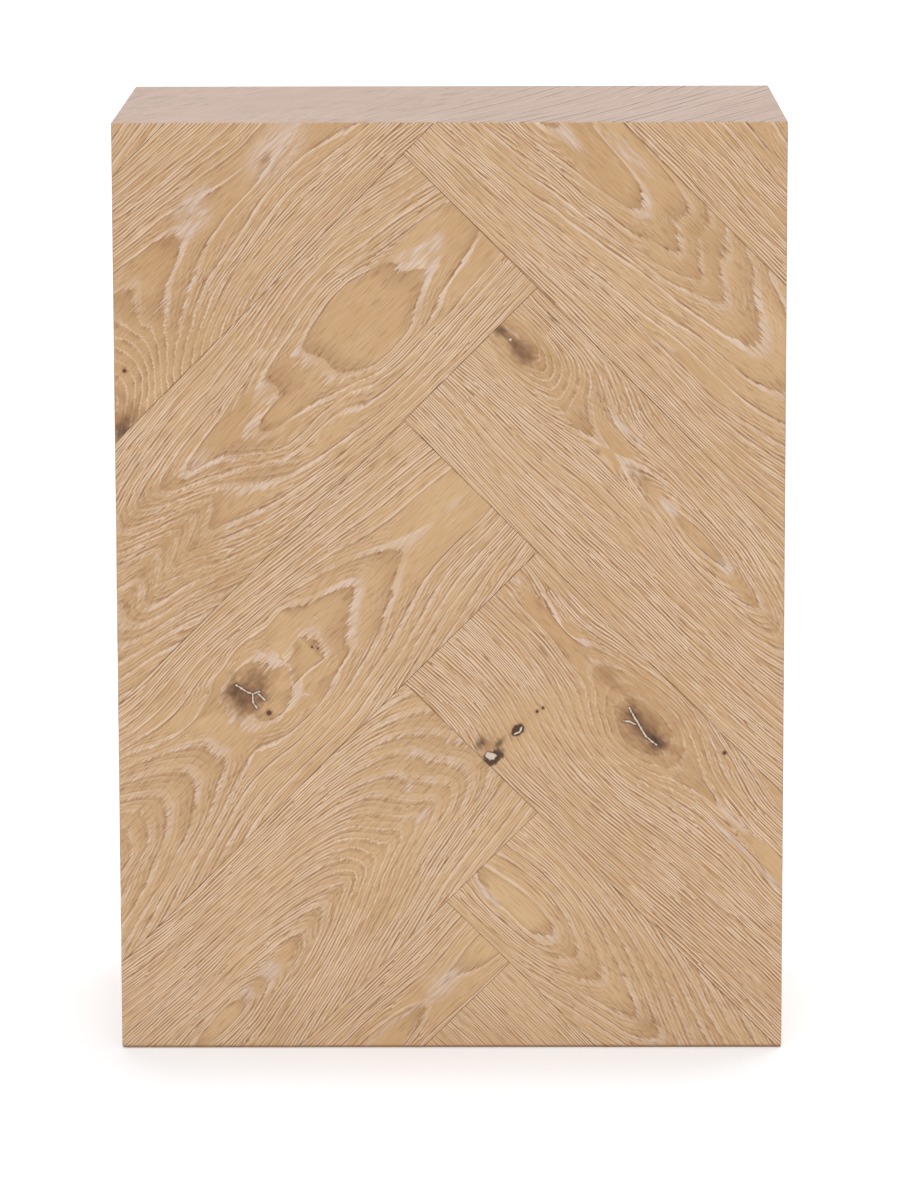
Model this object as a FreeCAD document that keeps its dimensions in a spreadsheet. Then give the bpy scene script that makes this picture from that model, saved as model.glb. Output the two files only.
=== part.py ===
import FreeCAD, Part
import Sketcher
import math
import os

# A parquet block: an upright box clad in oak boards, mitred where they meet.
# The front is laid in herringbone, the other faces are one board each.
# The origin is the middle of the foot, the front faces -Y and Z is up.

doc = FreeCAD.newDocument("parquet_block")

# Every size in millimetres, the laying angle in degrees.
sizes = {
    "block_width": 320,
    "block_depth": 200,
    "block_height": 450,
    "board_thickness": 15,
    # The planks' stock width, and the three that were ripped narrower to fit.
    "plank_width": 90,
    "upper_plank_width": 84,
    "lower_right_width": 62,
    "lower_left_width": 43,
    "joint_gap": 0.3,
    "laying_angle": 45,
    # Where the zigzag's topmost left corner stands on the front.
    "apex_from_left": 138,
    "apex_below_top": 15,
    # Rounding of the arrises, and of the edges the block stands on.
    "arris_radius": 0.9,
    "foot_radius": 2,
}

sheet = doc.addObject("Spreadsheet::Sheet", "Sizes")
for row, (alias, value) in enumerate(sizes.items(), start=1):
    sheet.set(f"A{row}", alias.replace("_", " "))
    sheet.set(f"B{row}", str(value))
    sheet.setAlias(f"B{row}", alias)
doc.recompute()


def bind(thing, expressions):
    """Tie properties of an object to the sizes."""
    for prop, text in expressions.items():
        thing.setExpression(prop, text)


def turned(x, y, z, degrees):
    """A placement turned about an axis through the origin."""
    return FreeCAD.Placement(FreeCAD.Vector(), FreeCAD.Rotation(FreeCAD.Vector(x, y, z), degrees))


def common(name, first, second):
    """The piece that two shapes share."""
    shared = doc.addObject("Part::Common", name)
    shared.Base = first
    shared.Tool = second
    shared.Refine = True
    shared.Label = name
    return shared


# The block's outside, with every edge rounded.

block = doc.addObject("PartDesign::Body", "Outside")
outline = block.newObject("Sketcher::SketchObject", "Outline")
half_width = sizes["block_width"] / 2
half_depth = sizes["block_depth"] / 2
corners = [
    FreeCAD.Vector(-half_width, -half_depth, 0),
    FreeCAD.Vector(half_width, -half_depth, 0),
    FreeCAD.Vector(half_width, half_depth, 0),
    FreeCAD.Vector(-half_width, half_depth, 0),
]
for start, end in zip(corners, corners[1:] + corners[:1]):
    outline.addGeometry(Part.LineSegment(start, end))

for side in range(4):
    outline.addConstraint(Sketcher.Constraint("Coincident", side, 2, (side + 1) % 4, 1))
    outline.addConstraint(Sketcher.Constraint("Horizontal" if side % 2 == 0 else "Vertical", side))
outline.addConstraint(Sketcher.Constraint("Symmetric", 0, 1, 1, 2, -1, 1))
across = outline.addConstraint(Sketcher.Constraint("DistanceX", 0, 1, 0, 2, sizes["block_width"]))
deep = outline.addConstraint(Sketcher.Constraint("DistanceY", 1, 1, 1, 2, sizes["block_depth"]))
bind(outline, {
    f"Constraints[{across}]": "Sizes.block_width",
    f"Constraints[{deep}]": "Sizes.block_depth",
})

bulk = block.newObject("PartDesign::Pad", "Bulk")
bulk.Profile = outline
bind(bulk, {"Length": "Sizes.block_height"})
doc.recompute()


def edge_names(feature, wanted):
    """Names of the edges whose lowest and highest points pass a test."""
    names = []
    for number, edge in enumerate(feature.Shape.Edges, start=1):
        if wanted(edge.BoundBox.ZMin, edge.BoundBox.ZMax):
            names.append(f"Edge{number}")
    return names


arrises = block.newObject("PartDesign::Fillet", "Arrises")
arrises.Base = (bulk, edge_names(bulk, lambda low, high: high > 1))
bind(arrises, {"Radius": "Sizes.arris_radius"})
doc.recompute()

foot_edges = block.newObject("PartDesign::Fillet", "FootEdges")
foot_edges.Base = (arrises, edge_names(arrises, lambda low, high: high < 0.001))
bind(foot_edges, {"Radius": "Sizes.foot_radius"})
doc.recompute()


# The mitred boards, one for each face but the foot.

def upright_board(name, face_width, distance, turn):
    """A board that stands on the floor, mitred at both sides and at the top."""
    board = doc.addObject("Part::Wedge", name + "_blank")
    board.Placement = turned(0, 0, 1, turn)
    bind(board, {
        "Ymin": f"-{distance} / 2",
        "Ymax": f"Sizes.board_thickness - {distance} / 2",
        "Xmin": f"-{face_width} / 2",
        "Xmax": f"{face_width} / 2",
        "X2min": f"Sizes.board_thickness - {face_width} / 2",
        "X2max": f"{face_width} / 2 - Sizes.board_thickness",
        "Zmin": "0",
        "Zmax": "Sizes.block_height",
        "Z2min": "0",
        "Z2max": "Sizes.block_height - Sizes.board_thickness",
    })
    return common(name, block, board)


front = upright_board("front", "Sizes.block_width", "Sizes.block_depth", 0)
right_board = upright_board("right_side_board", "Sizes.block_depth", "Sizes.block_width", 90)
back_board = upright_board("back_board", "Sizes.block_width", "Sizes.block_depth", 180)
left_board = upright_board("left_side_board", "Sizes.block_depth", "Sizes.block_width", -90)

top_blank = doc.addObject("Part::Wedge", "top_board_blank")
top_blank.Placement = turned(1, 0, 0, 90)
bind(top_blank, {
    "Ymin": "Sizes.block_height - Sizes.board_thickness",
    "Ymax": "Sizes.block_height",
    "Xmin": "Sizes.board_thickness - Sizes.block_width / 2",
    "Xmax": "Sizes.block_width / 2 - Sizes.board_thickness",
    "X2min": "-Sizes.block_width / 2",
    "X2max": "Sizes.block_width / 2",
    "Zmin": "Sizes.board_thickness - Sizes.block_depth / 2",
    "Zmax": "Sizes.block_depth / 2 - Sizes.board_thickness",
    "Z2min": "-Sizes.block_depth / 2",
    "Z2max": "Sizes.block_depth / 2",
})
top_board = common("top_board", block, top_blank)

core = doc.addObject("Part::Box", "core")
core.Label = "core"
bind(core, {
    "Length": "Sizes.block_width - 2 * Sizes.board_thickness",
    "Width": "Sizes.block_depth - 2 * Sizes.board_thickness",
    "Height": "Sizes.block_height - Sizes.board_thickness",
    "Placement.Base.x": "Sizes.board_thickness - Sizes.block_width / 2",
    "Placement.Base.y": "Sizes.board_thickness - Sizes.block_depth / 2",
})


# The herringbone. Two axes are laid on the front from the zigzag's apex: "rise" runs up to the
# right, along the left planks, and "climb" runs up to the left. A left plank fills a band of
# climb and stops at a rise, a right plank fills a band of rise and stops at a climb.

angle = math.radians(sizes["laying_angle"])
apex_x = sizes["apex_from_left"] - half_width
apex_z = sizes["block_height"] - sizes["apex_below_top"]
far = sizes["block_width"] + sizes["block_height"]
far_text = "(Sizes.block_width + Sizes.block_height)"


def stack(widths):
    """Joint levels below the apex, each a distance and the expression that gives it."""
    level = 0
    text = "0"
    levels = [(level, text)]
    for width in widths:
        level = level - sizes[width]
        text = f"{text} - Sizes.{width}"
        levels.append((level, text))
    return levels


def raised(width, count):
    """Joint levels above the apex: the first plank has a width of its own, the rest are stock."""
    levels = []
    for step in range(count, 0, -1):
        level = sizes[width] + (step - 1) * sizes["plank_width"]
        levels.append((level, f"Sizes.{width} + {step - 1} * Sizes.plank_width"))
    return levels


# Enough levels to cover the front, however it is sized.
rows = int(far / sizes["plank_width"]) + 2
left_levels = raised("plank_width", rows) + stack(
    ["plank_width"] * 3 + ["lower_left_width"] + ["plank_width"] * rows)
right_levels = raised("upper_plank_width", rows) + stack(
    ["plank_width"] * 2 + ["lower_right_width"] + ["plank_width"] * rows)


def on_front(rise, climb):
    """The point of the front at a rise and a climb from the apex."""
    x = apex_x + rise * math.cos(angle) - climb * math.sin(angle)
    z = apex_z + rise * math.sin(angle) + climb * math.cos(angle)
    return FreeCAD.Vector(x, 0, z)


front_outline = Part.makePlane(
    sizes["block_width"], sizes["block_height"],
    FreeCAD.Vector(-half_width, 0, 0), FreeCAD.Vector(0, -1, 0), FreeCAD.Vector(1, 0, 0))


def shows(low_rise, high_rise, low_climb, high_climb):
    """True if a plank with these bounds shows on the front."""
    ring = [
        on_front(low_rise, low_climb),
        on_front(high_rise, low_climb),
        on_front(high_rise, high_climb),
        on_front(low_rise, high_climb),
    ]
    face = Part.Face(Part.makePolygon(ring + ring[:1]))
    return face.common(front_outline).Area > sizes["joint_gap"] ** 2


def plank(name, low_rise, high_rise, low_climb, high_climb):
    """One plank of the front between four bounds, each an expression, less half a joint all round."""
    strip = doc.addObject("Part::Box", name + "_strip")
    strip.Placement = turned(0, -1, 0, sizes["laying_angle"])
    rise = f"({low_rise} + Sizes.joint_gap / 2)"
    climb = f"({low_climb} + Sizes.joint_gap / 2)"
    turn = "Sizes.laying_angle * 1 deg"
    bind(strip, {
        "Length": f"({high_rise}) - ({low_rise}) - Sizes.joint_gap",
        "Height": f"({high_climb}) - ({low_climb}) - Sizes.joint_gap",
        "Width": "Sizes.board_thickness",
        "Placement.Base.x": f"Sizes.apex_from_left - Sizes.block_width / 2"
                            f" + {rise} * cos({turn}) - {climb} * sin({turn})",
        "Placement.Base.y": "-Sizes.block_depth / 2",
        "Placement.Base.z": f"Sizes.block_height - Sizes.apex_below_top"
                            f" + {rise} * sin({turn}) + {climb} * cos({turn})",
        "Placement.Rotation.Angle": turn,
    })
    return common(name, front, strip)


planks = []
left_count = 0
right_count = 0
for step in range(len(left_levels) - 1):
    high, high_text = left_levels[step]
    low, low_text = left_levels[step + 1]
    stop, stop_text = right_levels[step]
    if shows(-far, stop, low, high):
        left_count = left_count + 1
        planks.append(plank(f"left_plank_{left_count}", f"-{far_text}", stop_text, low_text, high_text))
for step in range(len(right_levels) - 1):
    high, high_text = right_levels[step]
    low, low_text = right_levels[step + 1]
    stop, stop_text = left_levels[step + 1]
    if shows(low, high, -far, stop):
        right_count = right_count + 1
        planks.append(plank(f"right_plank_{right_count}", low_text, high_text, f"-{far_text}", stop_text))

doc.recompute()

pieces = [core, top_board, left_board, right_board, back_board] + planks

for thing in doc.Objects:
    if "Invalid" in thing.State or "Error" in thing.State:
        raise RuntimeError(f"{thing.Name} did not build: {thing.State}")
for piece in pieces:
    if piece.Shape.isNull() or not piece.Shape.isValid():
        raise RuntimeError(f"{piece.Label} has no good shape")
    if len(piece.Shape.Solids) != 1:
        raise RuntimeError(f"{piece.Label} is not one solid")

os.makedirs("parts", exist_ok=True)
for piece in pieces:
    piece.Shape.exportStep(f"parts/{piece.Label}.step")
    box = piece.Shape.BoundBox
    print(piece.Label, round(piece.Shape.Volume / 1000, 2), "cm3",
          [round(v, 2) for v in (box.XMin, box.YMin, box.ZMin, box.XMax, box.YMax, box.ZMax)])
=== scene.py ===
# %% [markdown]
# # A limed oak block with a herringbone front
# The object is an upright box clad in oak boards. Its front is laid in herringbone, and the wood was
# brushed and rubbed with white lime, so that the open pores of every growth ring show as pale lines.
# The CAD model already has the boards, so this lesson loads it, eases the edges as a joiner's
# sandpaper does, and then spends most of its effort on the figure of the wood.

import math

import bmesh
import bpy
import numpy as np
from mathutils import Matrix, Vector


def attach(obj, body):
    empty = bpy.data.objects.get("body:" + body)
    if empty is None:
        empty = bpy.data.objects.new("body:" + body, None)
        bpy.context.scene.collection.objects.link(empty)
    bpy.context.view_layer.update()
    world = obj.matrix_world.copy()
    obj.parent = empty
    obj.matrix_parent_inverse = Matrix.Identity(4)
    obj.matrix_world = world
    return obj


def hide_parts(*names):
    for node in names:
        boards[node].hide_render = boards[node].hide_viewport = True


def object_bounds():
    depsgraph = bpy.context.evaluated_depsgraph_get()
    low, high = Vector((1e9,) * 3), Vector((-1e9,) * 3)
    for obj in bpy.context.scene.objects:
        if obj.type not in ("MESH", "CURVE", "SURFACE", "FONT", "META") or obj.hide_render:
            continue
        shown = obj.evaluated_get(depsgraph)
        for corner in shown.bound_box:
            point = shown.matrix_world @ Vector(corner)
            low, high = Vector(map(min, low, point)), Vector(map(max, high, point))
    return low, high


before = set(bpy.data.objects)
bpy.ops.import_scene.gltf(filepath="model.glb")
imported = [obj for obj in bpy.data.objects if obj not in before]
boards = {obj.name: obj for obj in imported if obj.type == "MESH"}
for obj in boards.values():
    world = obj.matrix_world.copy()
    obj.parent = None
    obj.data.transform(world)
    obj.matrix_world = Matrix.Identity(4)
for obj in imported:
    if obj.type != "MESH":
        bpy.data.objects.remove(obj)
cad_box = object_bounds()
scene = bpy.context.scene
scene.view_settings.view_transform = "Standard"
print("boards in the frame:", sorted(boards))

# %% [markdown]
# ## The camera
# The photograph was taken from far away with a long lens, a little above the block, so its sides
# hardly converge. The values were fitted to the six corners that can be seen. The sensor is fitted
# vertically, because the frame is taller than it is wide.

# %% Camera
LENS_MM = 175.6
SENSOR_MM = 36.0
CAMERA_PLACE = (0.0182, -2.8625, 0.7036)
LOOKS_DOWN = math.radians(9.912)
LOOKS_LEFT = math.radians(0.383)
ROLL = math.radians(-0.149)

camera = bpy.data.objects.new("camera", bpy.data.cameras.new("camera"))
camera.data.sensor_fit = "VERTICAL"
camera.data.sensor_height = SENSOR_MM
camera.data.lens = LENS_MM
camera.data.clip_end = 200.0
camera.matrix_world = (
    Matrix.Translation(CAMERA_PLACE)
    @ Matrix.Rotation(LOOKS_LEFT, 4, "Z")
    @ Matrix.Rotation(math.pi / 2 - LOOKS_DOWN, 4, "X")
    @ Matrix.Rotation(ROLL, 4, "Z")
)
scene.collection.objects.link(camera)
scene.camera = camera
print("camera at", CAMERA_PLACE, "lens", LENS_MM)

# %% [markdown]
# ## Sums on sockets
# Wood is a sum of many small patterns, and a material is where those sums happen. Wiring a few hundred
# Math nodes by hand would be unreadable, so one small class stands for a socket and takes part in
# Python arithmetic: every + or * on it adds the Math node that does it. All other nodes come from its
# one method, which sets a node's settings first and then its sockets.


# %% A socket that can be added and multiplied
class Wire:
    """A socket of a material that takes part in Python arithmetic."""

    def __init__(self, tree, socket=None):
        self.tree = tree
        self.socket = socket

    def node(self, kind, settings, values, out=0):
        """Add a node, set its settings, give its sockets values or links, and return one output."""
        made = self.tree.nodes.new(kind)
        for name, setting in settings.items():
            setattr(made, name, setting)
        for name, value in values.items():
            if isinstance(value, Wire):
                self.tree.links.new(value.socket, made.inputs[name])
            else:
                made.inputs[name].default_value = value
        if len(made.outputs) == 0:
            return Wire(self.tree)
        return Wire(self.tree, made.outputs[out])

    def math(self, operation, *others):
        """Add a Math node with this socket first."""
        values = {0: self}
        for place, other in enumerate(others, start=1):
            values[place] = other
        return self.node("ShaderNodeMath", {"operation": operation}, values)

    def __add__(self, other):
        return self.math("ADD", other)

    def __sub__(self, other):
        return self.math("SUBTRACT", other)

    def __rsub__(self, other):
        return self.node("ShaderNodeMath", {"operation": "SUBTRACT"}, {0: other, 1: self})

    def __mul__(self, other):
        return self.math("MULTIPLY", other)

    def __truediv__(self, other):
        return self.math("DIVIDE", other)

    def __rtruediv__(self, other):
        return self.node("ShaderNodeMath", {"operation": "DIVIDE"}, {0: other, 1: self})

    __radd__ = __add__
    __rmul__ = __mul__


# %% Small helpers on sockets
def smooth(value, low, high):
    """0 below low and 1 above high, with a soft step between."""
    settings = {"interpolation_type": "SMOOTHSTEP"}
    values = {"Value": value, "From Min": low, "From Max": high}
    return value.node("ShaderNodeMapRange", settings, values)


NOISE_STEP = (7.31, 3.97)


def cloud(place, along, across, seed):
    """Soft noise from about -1 to 1, with lumps of the given size in millimetres."""
    values = {
        "Vector": place,
        "Location": (seed * NOISE_STEP[0], seed * NOISE_STEP[1], 0.0),
        "Scale": (1 / along, 1 / across, 1.0),
    }
    moved = place.node("ShaderNodeMapping", {}, values)
    values = {"Vector": moved, "Scale": 1.0, "Detail": 0.0}
    return place.node("ShaderNodeTexNoise", {"noise_dimensions": "2D"}, values) * 2 - 1


def shade(red, green, blue):
    """A colour as read off a screen, 0 to 255, in the linear light that a shader wants."""
    linear = []
    for value in (red, green, blue):
        part = value / 255
        linear.append(part / 12.92 if part <= 0.04045 else ((part + 0.055) / 1.055) ** 2.4)
    return (*linear, 1.0)


def mixed(amount, first, second):
    """A colour between two colours."""
    return amount.node("ShaderNodeMix", {"data_type": "RGBA"}, {0: amount, 6: first, 7: second}, out=2)


def vector_math(wire, operation, first, second, out=0):
    """One step of vector maths between two places or directions."""
    return wire.node("ShaderNodeVectorMath", {"operation": operation}, {0: first, 1: second}, out)


def new_material(name):
    """An empty material and a wire to start its nodes from."""
    material = bpy.data.materials.new(name)
    material.use_nodes = True
    material.node_tree.nodes.clear()
    return material, Wire(material.node_tree)


WHITE = shade(255, 255, 255)
print("a middle grey in linear light:", [round(part, 3) for part in shade(128, 128, 128)])

# %% [markdown]
# ## Floor and light
# The block stands on a plain white floor that runs on to the horizon. A white sky gives most of the
# light and a wide soft sun from the camera's side the rest, at a level where a colour renders about as
# it is written. A weak sun from above and a little behind throws the short shadow at the block's foot.
# To the camera and to reflections the floor gives off a little light of its own, so that it reads as
# white paper, and it still takes the block's soft shadow.

# %% Sky
SKY_LEVEL = 0.45
world = bpy.data.worlds.new("studio")
world.use_nodes = True
world.node_tree.nodes.clear()
sky = Wire(world.node_tree)


def looked_at(wire):
    """1 for what the camera, a mirror or a glass sees, 0 for light that only falls on things."""
    camera_ray = wire.node("ShaderNodeLightPath", {}, {}, out="Is Camera Ray")
    glossy_ray = wire.node("ShaderNodeLightPath", {}, {}, out="Is Glossy Ray")
    clear_ray = wire.node("ShaderNodeLightPath", {}, {}, out="Is Transmission Ray")
    return camera_ray.math("MAXIMUM", glossy_ray).math("MAXIMUM", clear_ray)


level = looked_at(sky) * (1 - SKY_LEVEL) + SKY_LEVEL
glow = sky.node("ShaderNodeBackground", {}, {"Color": WHITE, "Strength": level})
sky.node("ShaderNodeOutputWorld", {}, {"Surface": glow})
scene.world = world


# %% Suns
def soft_sun(name, strength, height, turn, softness):
    """A wide sun: its height over the floor, its turn about the block and its softness in degrees."""
    sun = bpy.data.objects.new(name, bpy.data.lights.new(name, "SUN"))
    sun.data.energy = strength
    sun.data.angle = math.radians(softness)
    sun.rotation_euler = (math.radians(90 - height), 0.0, math.radians(turn))
    scene.collection.objects.link(sun)
    print(name, "of strength", strength)


soft_sun("front_light", 0.98, 24, -8, 70)
soft_sun("top_light", 1.0, 80, 168, 16)

# %% Floor
FLOOR_HALF = 40.0
FLOOR_GLOW = 0.36
FLOOR_PAINT = shade(241, 243, 247)
shape = bmesh.new()
bmesh.ops.create_grid(shape, x_segments=1, y_segments=1, size=FLOOR_HALF)
floor = bpy.data.objects.new("floor", bpy.data.meshes.new("floor"))
shape.to_mesh(floor.data)
shape.free()
scene.collection.objects.link(floor)

paper, start = new_material("white_floor")
matt = start.node("ShaderNodeBsdfDiffuse", {}, {"Color": FLOOR_PAINT})
glow = looked_at(start) * FLOOR_GLOW
lamp = start.node("ShaderNodeEmission", {}, {"Color": WHITE, "Strength": glow})
both = start.node("ShaderNodeAddShader", {}, {0: matt, 1: lamp})
start.node("ShaderNodeOutputMaterial", {}, {"Surface": both})
floor.data.materials.append(paper)
print("floor of", 2 * FLOOR_HALF, "m under a sky of", SKY_LEVEL)

# %% [markdown]
# ## How oak gets its figure
# A tree grows a cone of wood every year, and a board cuts through those cones. Where the cut runs close
# to the tree's heart the rings come out as arches and ovals, and away from it as straight lines. So the
# figure of a board is a map of heights, and the rings are its contour lines. A formula would give the
# same arches on every plank, so each plank has a few ring lines of its own, listed one by one, and the
# map between them is the shape that a thin springy sheet takes when it is pinned at those points.

# %% A springy sheet over ring points
GRAIN_STRETCH = 2.5
SLACK = 2.0
NEVER_ZERO = 1e-9


def ring_map(rings):
    """The height map, in rings, through given points in millimetres along and across the grain."""
    pins = np.array([pin for line in rings.values() for pin in line], float) / (GRAIN_STRETCH, 1.0)
    levels = np.array([level for level, line in rings.items() for pin in line], float)

    def bend(spots):
        gaps = ((spots[:, None, :] - pins[None, :, :]) ** 2).sum(axis=2)
        return 0.5 * gaps * np.log(gaps + NEVER_ZERO)

    def tilt(spots):
        return np.hstack([np.ones((len(spots), 1)), spots])

    count = len(pins)
    system = np.zeros((count + 3, count + 3))
    system[:count, :count] = bend(pins) + SLACK * np.eye(count)
    system[:count, count:] = tilt(pins)
    system[count:, :count] = tilt(pins).T
    weights = np.linalg.solve(system, np.concatenate([levels, np.zeros(3)]))

    def height(along, across):
        spots = np.stack([along / GRAIN_STRETCH, across], axis=1)
        return bend(spots) @ weights[:count] + tilt(spots) @ weights[count:]

    return height


arch = ring_map({1: [(0, -10), (40, 0), (0, 10)], 0: [(0, -18), (70, 0), (0, 18)]})
print("a ring passes 40 mm up this arch:", arch(np.array([40.0]), np.array([0.0])).round(2))


# %% Places along and across the grain
MM_PER_METRE = 1000


def measured(start, lay):
    """Millimetres along and across the grain of a board, from the lay's origin."""
    origin, along, across = lay
    spot = start.node("ShaderNodeTexCoord", {}, {}, out="Object")
    off = vector_math(start, "SUBTRACT", spot, origin)
    both = []
    for direction in (along, across):
        scaled = [MM_PER_METRE * part for part in direction]
        both.append(vector_math(start, "DOT_PRODUCT", off, scaled, out="Value"))
    return both


# %% [markdown]
# ## From rings to limed wood
# Oak makes big open pores at the start of each year and dense brown wood at its end. Brushing clears
# the pores and the lime fills them, so every ring line is a pale band with a darker honey edge on its
# inner side. Along a plank's flanks the band is a hairline. Where an arch crosses the grain it spreads
# into a patch of short strokes, which is made by reading the height map at a place that is shaken along
# the grain, stroke by stroke. The map and its two slopes are kept on the mesh, a value for each point.
# From the slopes comes the gap between two rings, and with the gap the look of a ring changes.

# %% Colours of the oak
HONEY_OAK = {
    "dark": shade(203, 159, 112),
    "light": shade(225, 187, 141),
    "late_wood_and_shade": shade(152, 104, 64),
    "lime": shade(241, 211, 181),
    "chalk": shade(228, 202, 182),
}
# Painted sheen: the top's palette is greyer and paler than the front's, to stand in for part of the whitish
# reflection that the top shows at a grazing angle.
SHEEN_GREYED_OAK = {
    "dark": shade(188, 156, 137),
    "light": shade(209, 179, 161),
    "late_wood_and_shade": shade(138, 106, 90),
    "lime": shade(230, 212, 203),
    "chalk": shade(226, 208, 199),
}
KNOT_EDGE = shade(164, 116, 74)
KNOT_BODY = shade(136, 98, 68)
# The darkest knot wood; the same colour is the painted shade inside a pinhole.
KNOT_CORE_AND_HOLE_SHADE = shade(72, 46, 32)
FILLER = shade(232, 212, 190)


# %% Gaps between rings in millimetres, over which each look comes in
TIP_GAPS = (1.6, 4.5)
SPREAD_GAPS = (2.5, 8.0)
BUSY_GAPS = (3.0, 12.0)
FLAT_GAPS = (10.0, 25.0)
WIDEST_GAP = 100.0
print("rings count as wide apart from", SPREAD_GAPS[0], "mm")


# %% Ring bands
TIP_BIAS = 3
HATCHED = (-0.2, 0.25)


def ring_map_on(place, seed):
    """The mesh's ring map with a little waver, and its slopes along and across the grain."""
    rings = place.node("ShaderNodeAttribute", {"attribute_name": "rings"}, {}, out="Vector")
    height = place.node("ShaderNodeSeparateXYZ", {}, {"Vector": rings}, out="X")
    along_slope = place.node("ShaderNodeSeparateXYZ", {}, {"Vector": rings}, out="Y")
    across_slope = place.node("ShaderNodeSeparateXYZ", {}, {"Vector": rings}, out="Z")
    waver = cloud(place, 45, 12, seed + 3) * 0.6 + cloud(place, 14, 4, seed + 4) * 0.25
    waver = waver + cloud(place, 120, 5, seed + 5) * 0.5
    height = height + across_slope * waver + cloud(place, 50, 10, seed + 6) * 0.06
    return height, along_slope, across_slope


def ring_bands(place, height, along_slope, across_slope, strokes, seed, bold, run):
    """Each ring's lime, the brown edge inside it and its dark hairline. Then the gap between rings,
    how far they cross the grain, and where the tip of an arch lies open."""
    steep = along_slope * TIP_BIAS
    steep = steep * steep
    total = steep + across_slope * across_slope + 1 / WIDEST_GAP ** 2
    gap = 1 / total.math("SQRT")
    crossing = steep / total
    open_tip = crossing * smooth(gap, *TIP_GAPS)
    shaken = height + along_slope * strokes * (open_tip * 4.5 + 0.8)
    ring = shaken.math("CEIL")
    outside = ring - shaken
    thin = along_slope * 0.8
    line = across_slope * (0.45 * bold)
    share = (thin * thin + line * line).math("SQRT") + open_tip * 0.25 + 0.02
    year = place.node("ShaderNodeTexWhiteNoise", {"noise_dimensions": "1D"}, {"W": ring + seed * 0.37})
    spread = smooth(gap, *SPREAD_GAPS)
    strength = (year * 0.4 + 0.6 + cloud(place, 35, 9, seed + 8) * 0.8).math("MAXIMUM", 0.0)
    strength = strength * (spread * 0.45 + 0.55)
    lime = (1 - smooth(outside / share, 0.7, 1.05)) * strength
    wide = open_tip.math("MAXIMUM", smooth(gap, *FLAT_GAPS))
    lime = lime * (1 - wide * (1 - smooth(strokes, *HATCHED)) * 0.75)

    inside = (height - height.math("FLOOR")) * gap
    edge = 1 - smooth(inside / (open_tip * 4 + 2), 0.0, 1.0)
    edge = edge * (spread * 0.14 + open_tip * 0.16 + 0.05)
    hairline = smooth((1 - outside) * gap, 0.9 * bold, 0.2 * bold) * (1 - open_tip * 0.6)
    hairline = hairline * smooth(cloud(place, run, 5, seed + 9), -0.25, 0.35) * (spread * 0.5 + 0.5)
    return lime, edge, hairline, gap, crossing, open_tip


# %% [markdown]
# ## Brushed grain between the rings
# Where the rings crowd, brushing leaves fine pale furrows little more than a millimetre apart, and
# they bend with the rings. Straight stripes would cross the arches, so the furrows are contour lines
# too: each ring gap is shared out among as many lines as it has room for. Beside each furrow a dark
# line of painted shade stands for the shadow in its groove. Here and there the lime missed a furrow,
# and it shows as a dark streak.

# %% Furrows
FURROW_GAP = 1.25
FURROW_EDGE = (0.14, 0.34)
SHADED_SIDE = 0.5


def furrows(place, along, height, gap, seed):
    """Fine broken lines that run with the rings: pale in the furrow, and painted shade on its shaded side.
    """
    room = gap / FURROW_GAP * (cloud(place, 40, 5, seed + 22) * 0.2 + 1)
    lines = room.math("ROUND").math("MAXIMUM", 1.0)
    level = height * lines
    index = level.math("ROUND")
    off = (level - index) * gap / lines
    track = place.node("ShaderNodeCombineXYZ", {}, {"X": along, "Y": index * 3.7})
    run = cloud(track, 22, 1.0, seed + 20)
    broken = (smooth(run, -0.5, 0.0) * 0.7 + 0.3) * (cloud(track, 6, 1.0, seed + 21) * 0.7 + 1)
    line = 1 - smooth(off.math("ABSOLUTE"), *FURROW_EDGE)
    # Painted shade: a dark line half a millimetre beside each pale furrow, for the shadow in its groove.
    shadow = 1 - smooth((off + SHADED_SIDE).math("ABSOLUTE"), *FURROW_EDGE)
    missed = smooth(run, -0.45, -0.6) * 0.6
    return line * broken, shadow * broken + line * missed


# %% [markdown]
# ## Knots and cracks
# A knot is the foot of a branch. Its wood is dark and dense, and it dries with cracks that are filled
# with a pale paste. A knot could be modelled, but on a sanded plank it lies flush, so it is painted: a
# mark is a listed oval or line, and noise makes its rim ragged, so that no two look alike.

# %% Marks on one plank
def nearness(along, across, mark):
    """Distance from a mark's middle, in its own half lengths."""
    middle, level, half_along, half_across = mark[:4]
    off_along = (along - middle) / half_along
    off_across = (across - level) / half_across
    return (off_along * off_along + off_across * off_across).math("SQRT")


def distance_to(place, points):
    """Distance in millimetres from a line through given points."""
    nearest = None
    for start, end in zip(points, points[1:]):
        start = Vector((*start, 0.0))
        run = Vector((*end, 0.0)) - start
        off = vector_math(place, "SUBTRACT", place, start)
        pull = run / run.length_squared
        share = vector_math(place, "DOT_PRODUCT", off, pull, out="Value")
        share = share.math("MAXIMUM", 0.0).math("MINIMUM", 1.0)
        foot = place.node("ShaderNodeVectorMath", {"operation": "SCALE"}, {0: run, "Scale": share})
        gap = vector_math(place, "DISTANCE", off, foot, out="Value")
        nearest = gap if nearest is None else nearest.math("MINIMUM", gap)
    return nearest


# %% Knots, cracks and pinholes
KNOT_KINDS = (
    ("halos", KNOT_EDGE, -0.2),
    ("knots", KNOT_BODY, 0.2),
    ("darks", KNOT_CORE_AND_HOLE_SHADE, -0.1),
    ("plugs", KNOT_CORE_AND_HOLE_SHADE, 0.8),
)
KNOT_RIM = 1.2
CHECK_EDGE = (0.15, 0.7)
PIN_STAIN = (0.9, 1.9)
PIN_HOLE = (0.6, 1.05)
CRACK_STAIN = (0.4, 1.3)
CRACK_PASTE = (0.2, 0.5)
FILL_EDGE = (0.6, 1.0)


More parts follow.
